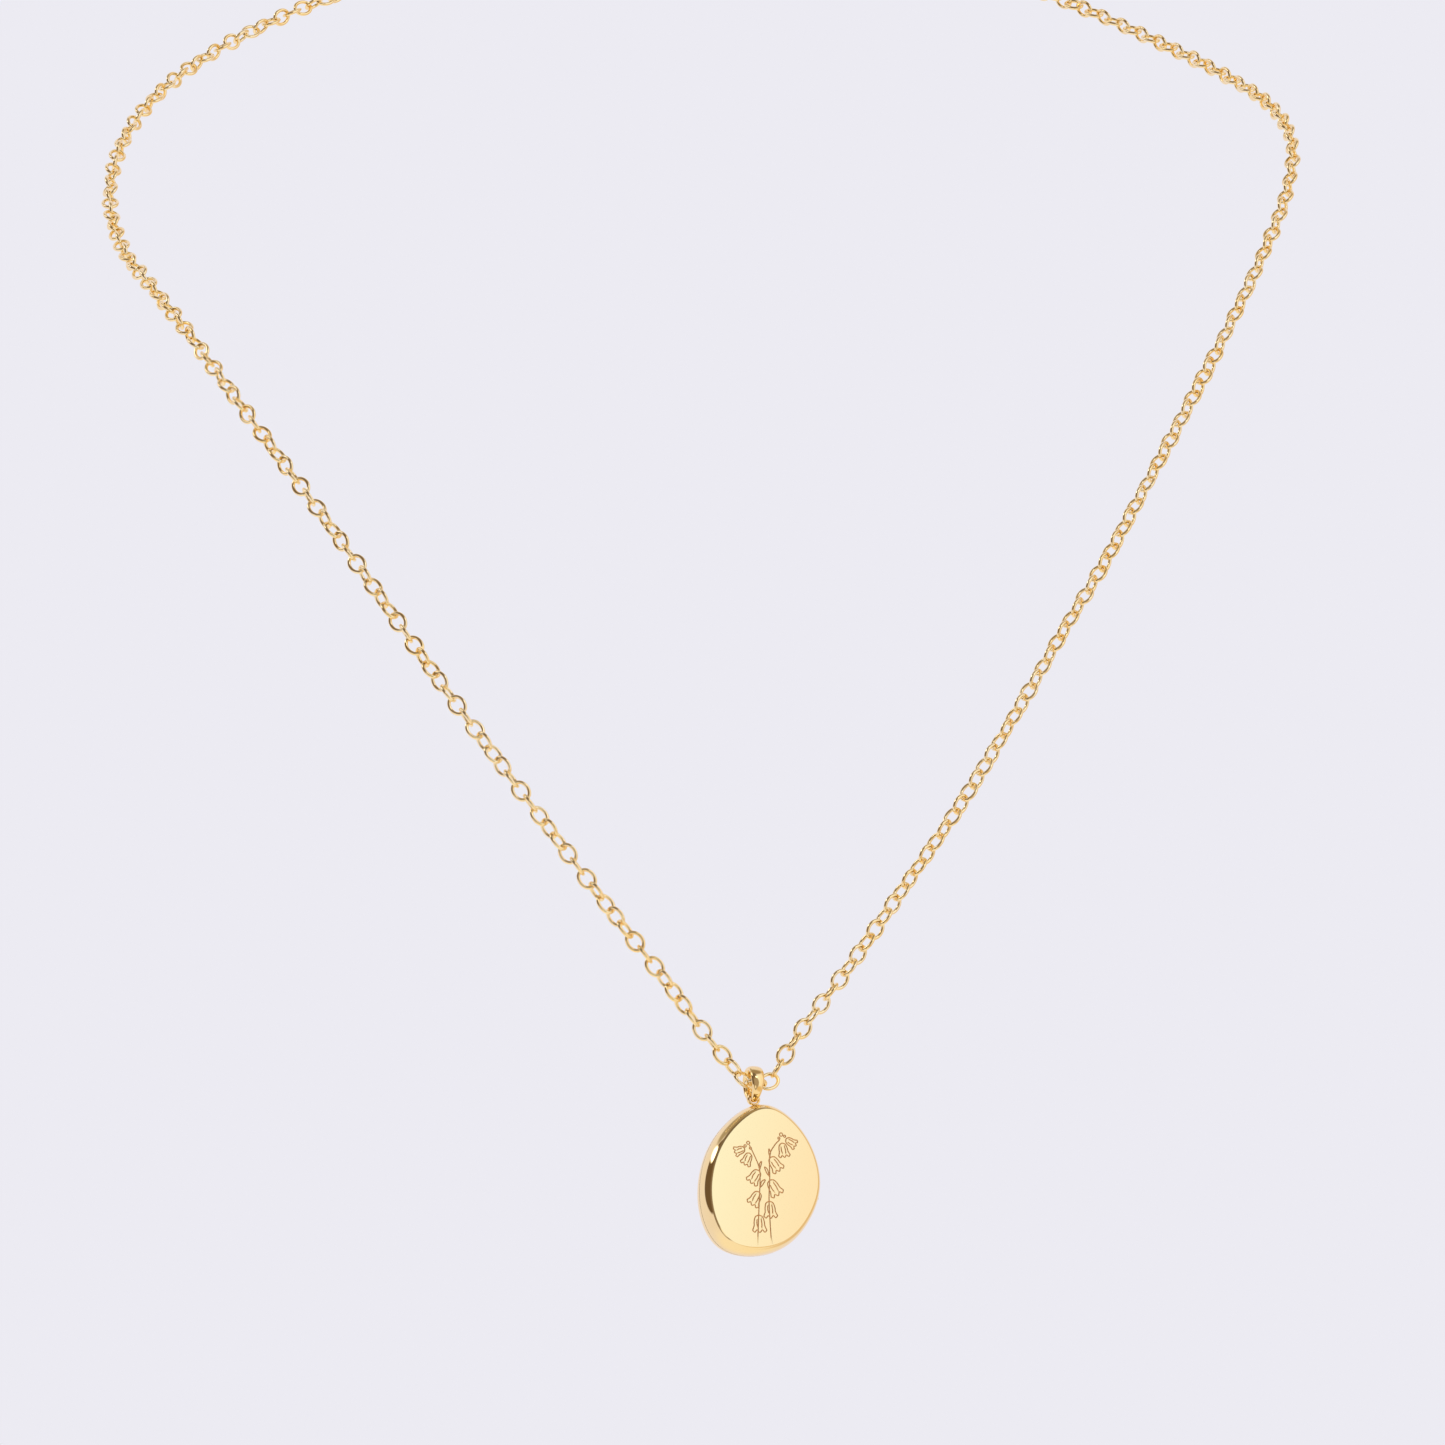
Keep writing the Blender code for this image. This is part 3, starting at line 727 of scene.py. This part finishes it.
def bail_section():
    """The ring's section, outwards and along its axis: an oval with squared shoulders."""
    t = np.linspace(0, 2 * np.pi, 48, endpoint=False)
    squared = np.stack([np.cos(t), np.sin(t)], 1)
    squared = np.sign(squared) * np.abs(squared) ** BAIL_SQUARE
    return squared * (BAIL_HALF_THICK, BAIL_FULL_HALF_WIDE)


def make_bail():
    """The ring, its wide top and front narrowing to the eye, turned a little about the upright."""
    loop, outwards = oval_loop(BAIL_RADIUS, BAIL_RADIUS, 128)
    section = bail_section()
    low = ((1 - loop[:, 2] / BAIL_RADIUS) / 2) ** 2
    narrow = 1 - low * (1 - BAIL_LOW_HALF_WIDE / BAIL_FULL_HALF_WIDE)
    points = loop[:, None] + outwards[:, None] * section[None, :, 0:1]
    points[..., 1] = section[None, :, 1] * narrow[:, None]
    faces = grid_faces(len(loop), len(section), True, True)
    back = Matrix.Translation(Vector((0, EYE_BEHIND, 0)) * MM)
    quarter = back @ Matrix.Rotation(math.pi / 2 + BAIL_TURN, 4, "Z")
    data = welded(mesh_of("bail_ring_polished", points.reshape(-1, 3), faces))
    piece_from(data, bail_gold, "bail", ["bail_ring"], PENDANT @ quarter)


def eye_band(name, grow=0.0):
    """The eye's mesh, or the same grown all round."""
    half_x = BAIL_LOW_HALF_WIDE + EYE_AIR + EYE_HALF_THICK
    half_z = BAIL_HALF_THICK + EYE_AIR + EYE_HALF_THICK
    loop, outwards = oval_loop(half_x, half_z, RING_STEPS)
    thick, wide = EYE_HALF_THICK + grow, EYE_HALF_WIDE + grow
    points, faces = ring_tube(loop, outwards, (0, 1, 0), thick, wide, 24)
    return welded(mesh_of(name, points + np.array((0, EYE_BEHIND, -BAIL_RADIUS)), faces))


def make_eye():
    data = eye_band("pendant_eye_band")
    piece_from(data, fitting_gold, "pendant", ["pendant_eye"], PENDANT)


def stroke(points):
    """Evenly spaced points along a smooth engraved stroke, in the face's plane."""
    fine = open_spline([(x, 0, z) for x, z in points], 24)[:, [0, 2]]
    run = np.r_[0, np.cumsum(np.linalg.norm(np.diff(fine, axis=0), axis=1))]
    want = np.linspace(0, run[-1], max(2, round(run[-1] / CUT_STEP)) + 1)
    return np.stack([np.interp(want, run, fine[:, i]) for i in range(2)], 1)


def engraved_strokes():
    """Two sprigs of bell flowers with leaves and buds, each stroke as points from the face's middle."""
    drawn = [stroke(points) for points in (*STEMS, *LEAVES)]
    for x, z, size, lean in BELLS:
        turn = math.radians(lean)
        for line in BELL:
            points = [
                (
                    x + size * (a * math.cos(turn) - b * math.sin(turn)),
                    z + size * (a * math.sin(turn) + b * math.cos(turn)),
                )
                for a, b in line
            ]
            drawn.append(stroke(points))
    for x, z, size in BUDS:
        turns = np.linspace(0, 2 * math.pi, 9)
        drawn.append(stroke([(x + size / 2 * math.cos(t), z + size / 2 * math.sin(t)) for t in turns]))
    return drawn


def engraved_face():
    """The front face as triangles round the cuts: points (x, y, z), faces, and which faces are cut."""
    edge = outline(0.0)
    points = [tuple(p) for p in edge]
    edges = [(i, (i + 1) % len(edge)) for i in range(len(edge))]
    strokes = [line + np.array(FACE_MIDDLE) for line in engraved_strokes()]
    for line in strokes:
        along = np.gradient(line, axis=0)
        along /= np.linalg.norm(along, axis=1)[:, None]
        across = np.stack([-along[:, 1], along[:, 0]], 1)
        for offset in (-CUT_HALF, 0.0, CUT_HALF):
            start = len(points)
            points += [tuple(p) for p in line + across * offset]
            edges += [(start + i, start + i + 1) for i in range(len(line) - 1)]
    made = geometry.delaunay_2d_cdt([Vector(p) for p in points], edges, [], 0, 1e-5)
    flat = np.array([tuple(v) for v in made[0]])
    faces = [tuple(f) for f in made[2]]
    starts = np.concatenate([line[:-1] for line in strokes])
    ways = np.concatenate([np.diff(line, axis=0) for line in strokes])

    def off_line(places):
        """How far each place is from the nearest stroke's centre line."""
        gap = places[:, None] - starts[None]
        share = np.clip((gap * ways[None]).sum(-1) / (ways**2).sum(-1)[None], 0, 1)
        return np.linalg.norm(gap - share[..., None] * ways[None], axis=-1).min(1)

    sunk = CUT_DEPTH * np.clip(1 - off_line(flat) / CUT_HALF, 0, 1)
    middles = np.array([flat[list(f)].mean(0) for f in faces])
    cut_faces = off_line(middles) < CUT_HALF * 0.95
    inside = contains(edge, middles)
    solid = np.stack([flat[:, 0], sunk - HALF_DEPTH, flat[:, 1]], 1)
    kept = [(f, bool(c)) for f, c, k in zip(faces, cut_faces, inside) if k]
    return solid, [f for f, c in kept], [c for f, c in kept]


def contains(loop, places):
    """Which places lie inside a closed loop."""
    a, b = loop, np.roll(loop, -1, 0)
    x, z = places[:, 0:1], places[:, 1:2]
    spans = (a[None, :, 1] > z) != (b[None, :, 1] > z)
    with np.errstate(divide="ignore", invalid="ignore"):
        cross = (b[:, 0] - a[:, 0]) * (z - a[:, 1]) / (b[:, 1] - a[:, 1]) + a[:, 0]
    return (spans & (x < cross)).sum(1) % 2 == 1


def hinge_at():
    """Where the hinge's axis is in the pendant's frame, in millimetres."""
    return (PENDANT.inverted() @ Vector(JOINTS["cover_hinge"]["pos_m"])) / MM


def shell_cuts(side):
    """What is taken from a half shell round the hinge, and for the eye in the back one."""
    x, y, z = hinge_at()
    pitch = KNUCKLE_LONG + GAP
    solder = KNUCKLE_OUTER + GAP
    half = 1.5 * pitch
    mine = solder if side < 0 else HINGE_CLEAR
    theirs = HINGE_CLEAR if side < 0 else solder
    spans = (
        (-HINGE_RUN, -half, HINGE_CLEAR),
        (-half, -pitch / 2, theirs),
        (-pitch / 2, pitch / 2, mine),
        (pitch / 2, half, theirs),
        (half, HINGE_RUN, HINGE_CLEAR),
    )
    cuts = [plain_rod(reach, z + low, z + high, (x, y)) for low, high, reach in spans]
    if side > 0:
        cuts.append(eye_band("eye_notch", GAP))
    return cuts


def plain_rod(radius, low, high, at):
    t = np.linspace(0, 2 * np.pi, 64, endpoint=False)
    points = [(at[0] + radius * math.cos(a), at[1] + radius * math.sin(a), z) for z in (low, high) for a in t]
    faces = grid_faces(2, 64, False, True) + [tuple(range(64)), tuple(range(64, 128))]
    return welded(mesh_of("recess", points, faces))


def make_shell(name, node, side, body):
    rings = []
    start = math.sin(EDGE_TURN)
    for turn in np.linspace(EDGE_TURN, math.pi / 2, WALL_STEPS + 1):
        grow = WALL_BULGE * (math.sin(turn) - start) / (1 - start)
        depth = max(HALF_DEPTH * math.cos(turn) / math.cos(EDGE_TURN), SEAM)
        rings.append([(x, side * depth, z) for x, z in outline(grow)])
    for depth in (SEAM, HALF_DEPTH - SHELL_FACE):
        rings.append([(x, side * depth, z) for x, z in outline(CAVITY)])
    points = [p for ring in rings for p in ring]
    faces = grid_faces(len(rings), OUTLINE_STEPS, False, True)
    last = (len(rings) - 1) * OUTLINE_STEPS
    faces.append(tuple(range(last, last + OUTLINE_STEPS)))
    looks = [0] * len(faces)
    if side < 0:
        front, front_faces, cut_faces = engraved_face()
        faces += [tuple(i + len(points) for i in f) for f in front_faces]
        looks += [2 if cut else 1 for cut in cut_faces]
        points += [tuple(p) for p in front]
    else:
        faces.append(tuple(range(OUTLINE_STEPS)))
        looks.append(1)
    data = mesh_of(name, points, faces)
    for look in (case_gold, face_gold_painted_reflection, cut_gold):
        data.materials.append(look)
    data.polygons.foreach_set("material_index", looks)
    data = combined(welded(data), shell_cuts(side))
    piece_from(data, case_gold, body, [node], PENDANT, 20.0)


def flat_band(outer, inner, low, high):
    """A band in the face's plane between two outlines, from depth low to high, its edges just broken."""
    edge = 0.03
    corners = (
        (outer, low + edge),
        (outer, high - edge),
        (outer - edge, high),
        (inner + edge, high),
        (inner, high - edge),
        (inner, low + edge),
        (inner + edge, low),
        (outer - edge, low),
    )
    points = [(x, y, z) for grow, y in corners for x, z in outline(grow)]
    return points, grid_faces(len(corners), OUTLINE_STEPS, True, True)


def flat_plate(outer, low, high):
    points = [(x, y, z) for y in (low, high) for x, z in outline(outer)]
    n = OUTLINE_STEPS
    return points, grid_faces(2, n, False, True) + [tuple(range(n)), tuple(range(n, 2 * n))]


def make_contents(side, label, body):
    """The card, window and frame in one half."""
    edge = CAVITY - GAP
    at = HALF_DEPTH - SHELL_FACE
    for name, thick, look, slot in (
        ("photo", PHOTO_THICK, paper, "photo_card"),
        ("window", WINDOW_THICK, film, "clear_window"),
        ("photo_frame", FRAME_THICK, inner_gold, "fitting_gold"),
    ):
        at -= STACK_GAP + thick
        low, high = sorted((side * at, side * (at + thick)))
        if name == "photo_frame":
            points, faces = flat_band(edge, edge - FRAME_BAND, low, high)
        else:
            points, faces = flat_plate(edge, low, high)
        node = f"{label}_{name}"
        piece_from(welded(mesh_of(f"{node}_piece", points, faces)), look, body, [node], PENDANT)


def make_rim():
    edge = CAVITY - GAP
    points, faces = flat_band(edge, edge - RIM_THICK, -RIM_AHEAD, RIM_BEHIND)
    data = welded(mesh_of("closing_rim_band", points, faces))
    piece_from(data, fitting_gold, "pendant", ["closing_rim"], PENDANT)


def make_hinge():
    x, y, z = hinge_at()
    pitch = KNUCKLE_LONG + GAP
    for node, middle, body in (
        ("back_knuckle_upper", pitch, "pendant"),
        ("front_knuckle", 0.0, "cover"),
        ("back_knuckle_lower", -pitch, "pendant"),
    ):
        low, high = z + middle - KNUCKLE_LONG / 2, z + middle + KNUCKLE_LONG / 2
        tube = rod(f"{node}_tube", KNUCKLE_OUTER, low, high, (x, y))
        tube = combined(tube, [plain_rod(KNUCKLE_BORE, low - 1, high + 1, (x, y))])
        piece_from(tube, fitting_gold, body, [node], PENDANT)
    pin = rod("hinge_pin_rod", PIN_RADIUS, z - 1.5 * pitch, z + 1.5 * pitch, (x, y))
    piece_from(pin, steel, "pendant", ["hinge_pin"], PENDANT)


# ---------------------------------------------------------------- clasp


def clasp_place():
    """The clasp ring's frame in the world, its middle on the sliding bolt's axis."""
    return Matrix.Translation(Vector(JOINTS["clasp_slide"]["pos_m"]))


def make_clasp():
    """The spring ring: its hollow body with the gate, and its bolt with the nub. The spring stays as CAD."""
    place = clasp_place()
    eye, outwards = oval_loop(CLASP_EYE_RADIUS, CLASP_EYE_RADIUS, RING_STEPS)
    points, faces = ring_tube(eye, outwards, (0, 1, 0), CLASP_EYE_WIRE, CLASP_EYE_WIRE, 16)
    eye = welded(mesh_of("clasp_eye", points + np.array((CLASP_EYE_X, 0, 0)), faces))
    body = wire_mesh("clasp_ring", arc(CLASP_RADIUS, GATE_TO, 360 + GATE_FROM), CLASP_TUBE)
    bore_from = GATE_TO - BORE_PAST_GATE
    tip_way = arc(CLASP_RADIUS, GATE_FROM - TIP_SEAT, GATE_FROM + BORE_PAST_GATE)
    slot_way = arc(CLASP_RADIUS + NUB_SLOT_OUT, bore_from, NUB_TRAVEL_TO)
    cuts = [
        wire_mesh("spring_bore", arc(CLASP_RADIUS, bore_from, BORE_END), CLASP_BORE),
        wire_mesh("tip_bore", tip_way, CLASP_BORE),
        wire_mesh("nub_slot", slot_way, NUB_SLOT_RADIUS),
    ]
    body = combined(body, cuts, [eye])
    piece_from(body, fitting_gold, "chain", ["clasp_body"], place, 30.0)
    nub_way = arc(1.0, NUB_AT, NUB_AT)[0]
    nub = wire_mesh("bolt_nub", [nub_way * (CLASP_RADIUS + r) for r in (NUB_ROOT, NUB_TIP)], NUB_RADIUS)
    bar = wire_mesh("clasp_bolt_bar", arc(CLASP_RADIUS, BOLT_FROM, BOLT_TO), BOLT_RADIUS)
    bolt = combined(bar, [], [nub])
    piece_from(bolt, fitting_gold, "clasp_bolt", ["clasp_bolt"], place, 30.0)


def make_end_rings():
    """The two plain rings at the chain's ends, lying flat, from their CAD boxes."""
    for node in ("clasp_jump_ring", "end_ring"):
        low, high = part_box(node)
        wire = (high.z - low.z) / 2 / MM
        radius = (high.x - low.x) / 2 / MM - wire
        loop, outwards = oval_loop(radius, radius, RING_STEPS)
        points, faces = ring_tube(loop, outwards, (0, 1, 0), wire, wire, 20)
        place = Matrix.Translation((low + high) / 2) @ Matrix.Rotation(math.pi / 2, 4, "X")
        mesh_piece(f"{node}_wire", points, faces, fitting_gold, "chain", [node], place)


# ---------------------------------------------------------------- stage


def direction(azimuth, elevation):
    """A unit vector, azimuth from the front (-Y) towards +X, in degrees."""
    a, e = math.radians(azimuth), math.radians(elevation)
    return Vector((math.sin(a) * math.cos(e), -math.cos(a) * math.cos(e), math.sin(e)))


def make_world():
    """The room that polished gold reflects: bright and dark patches, and a plain backdrop for the camera.

    This is not a plain even studio. The patches are placed for the reflections that the front view needs.
    """
    world = bpy.data.worlds.new("studio")
    bpy.context.scene.world = world
    world.use_nodes = True
    nodes = Nodes(world.node_tree)
    world.node_tree.nodes.clear()
    ways = nodes.new("ShaderNodeSeparateXYZ")
    nodes.link(nodes.new("ShaderNodeTexCoord").outputs["Generated"], ways.inputs[0])
    x, y, z = ways.outputs
    azimuth = nodes.maths("ARCTAN2", x, nodes.maths("MULTIPLY", y, -1.0))
    elevation = nodes.maths("ARCSINE", z)

    def share(angle, middle, reach):
        """How far an angle is from a patch's middle, as a share of the patch's reach in degrees."""
        off = nodes.maths("SUBTRACT", angle, math.radians(middle))
        return nodes.maths("DIVIDE", off, math.radians(reach))

    def patch(at, size, soft):
        """1 inside an oval patch of the room, 0 outside, angles in degrees."""
        u = share(azimuth, at[0], size[0])
        v = share(elevation, at[1], size[1])
        squares = nodes.maths("ADD", nodes.maths("MULTIPLY", u, u), nodes.maths("MULTIPLY", v, v))
        return nodes.ramp(nodes.maths("SQRT", squares), 1 - soft, 1 + soft, 1.0, 0.0)

    to_window = nodes.ramp(azimuth, math.radians(41), math.radians(50))
    window = nodes.mix(to_window, (1.0, 1.04, 1.1, 1), (1.0, 0.95, 0.92, 1))
    to_shade = nodes.ramp(azimuth, math.radians(-45), math.radians(5))
    shade = nodes.mix(to_shade, (0.15, 0.095, 0.055, 1), (0.42, 0.34, 0.28, 1))
    ceiling = nodes.maths("MULTIPLY", nodes.ramp(z, 0.78, 0.88), nodes.ramp(y, 0.25, -0.05))
    layers = (
        (patch((108, 10), (26, 62), 0.3), (0.78, 0.60, 0.42, 1)),
        (patch((52, 18), (36, 36), 0.2), window),
        (patch((50, -34), (34, 14), 0.4), (0.80, 0.60, 0.36, 1)),
        (ceiling, (0.36, 0.27, 0.18, 1)),
        (patch((-50, 20), (45, 32), 0.06), shade),
        (patch((0, 0), (35, 46), 0.1), shade),
        # Lights the engraved face for a viewer near azimuth 45, elevation 25. It reflects the shade round it.
        (patch((0, -27), (12, 9), 0.3), (0.95, 0.88, 0.78, 1)),
        (patch((-98, 60), (40, 14), 0.3), (0.42, 0.35, 0.27, 1)),
        (patch((-10, 46), (36, 20), 0.2), (0.20, 0.15, 0.11, 1)),
        (patch((-72, 39), (24, 7), 0.2), (2.6, 2.5, 2.4, 1)),
        (patch((20, 38), (10, 6), 0.4), (2.2, 2.1, 2.0, 1)),
    )
    room = nodes.mix(nodes.ramp(z, -0.9, -0.4), (0.97, 0.88, 0.78, 1), (0.87, 0.81, 0.88, 1))
    for where, colour in layers:
        room = nodes.mix(where, room, colour)
    seen = nodes.new("ShaderNodeLightPath").outputs["Is Camera Ray"]
    room = nodes.mix(seen, room, (0.84, 0.83, 0.89, 1))
    background = nodes.new("ShaderNodeBackground")
    nodes.link(room, background.inputs["Color"])
    nodes.link(background.outputs[0], nodes.new("ShaderNodeOutputWorld").inputs["Surface"])


def make_stage():
    """A plain pale floor well below the pendant, and one large soft lamp."""
    data = bpy.data.meshes.new("floor")
    corners = ((-1, -1), (1, -1), (1, 1), (-1, 1))
    data.from_pydata([(x * FLOOR_HALF, y * FLOOR_HALF, FLOOR_AT) for x, y in corners], [], [(0, 1, 2, 3)])
    look = bpy.data.materials.new("floor")
    look.use_nodes = True
    shader = look.node_tree.nodes["Principled BSDF"]
    shader.inputs["Base Color"].default_value = (0.83, 0.82, 0.86, 1)
    shader.inputs["Roughness"].default_value = 0.9
    data.materials.append(look)
    floor = bpy.data.objects.new("floor", data)
    bpy.context.scene.collection.objects.link(floor)
    floor.visible_glossy = False
    lamp = bpy.data.lights.new("key", "AREA")
    lamp.shape = "DISK"
    lamp.size = LAMP_ACROSS
    lamp.energy = LAMP_WATTS
    key = bpy.data.objects.new("key", lamp)
    bpy.context.scene.collection.objects.link(key)
    way = direction(-35, 50)
    key.location = way * LAMP_AWAY
    key.rotation_euler = way.to_track_quat("Z", "Y").to_euler()
    key.visible_glossy = False
    key.visible_camera = False


def make_camera():
    data = bpy.data.cameras.new("camera")
    data.lens = CAMERA_LENS
    data.sensor_width = 36.0
    data.clip_start = 0.01
    camera = bpy.data.objects.new("camera", data)
    bpy.context.scene.collection.objects.link(camera)
    camera.location = CAMERA_AT
    camera.rotation_euler = (math.radians(90 + CAMERA_PITCH), 0, 0)
    bpy.context.scene.camera = camera


make_camera()
make_world()
make_stage()
bpy.context.scene.view_settings.view_transform = "Standard"

frame["nodes"]["clasp_spring"].material_slots[0].material = steel
make_single_links()
make_strand("left", LEFT_ROUTE, turn_per_link=76.0, twist=0.0, twist_over=0.0, seed=3)
make_strand("right", RIGHT_ROUTE, turn_per_link=90.0, twist=45.0, twist_over=30.0, seed=5)
make_bail()
make_eye()
make_shell("front_half", "front_cover", -1, "cover")
make_shell("back_half", "back_shell", 1, "pendant")
make_contents(-1, "front", "cover")
make_contents(1, "back", "pendant")
make_rim()
make_hinge()
make_clasp()
make_end_rings()
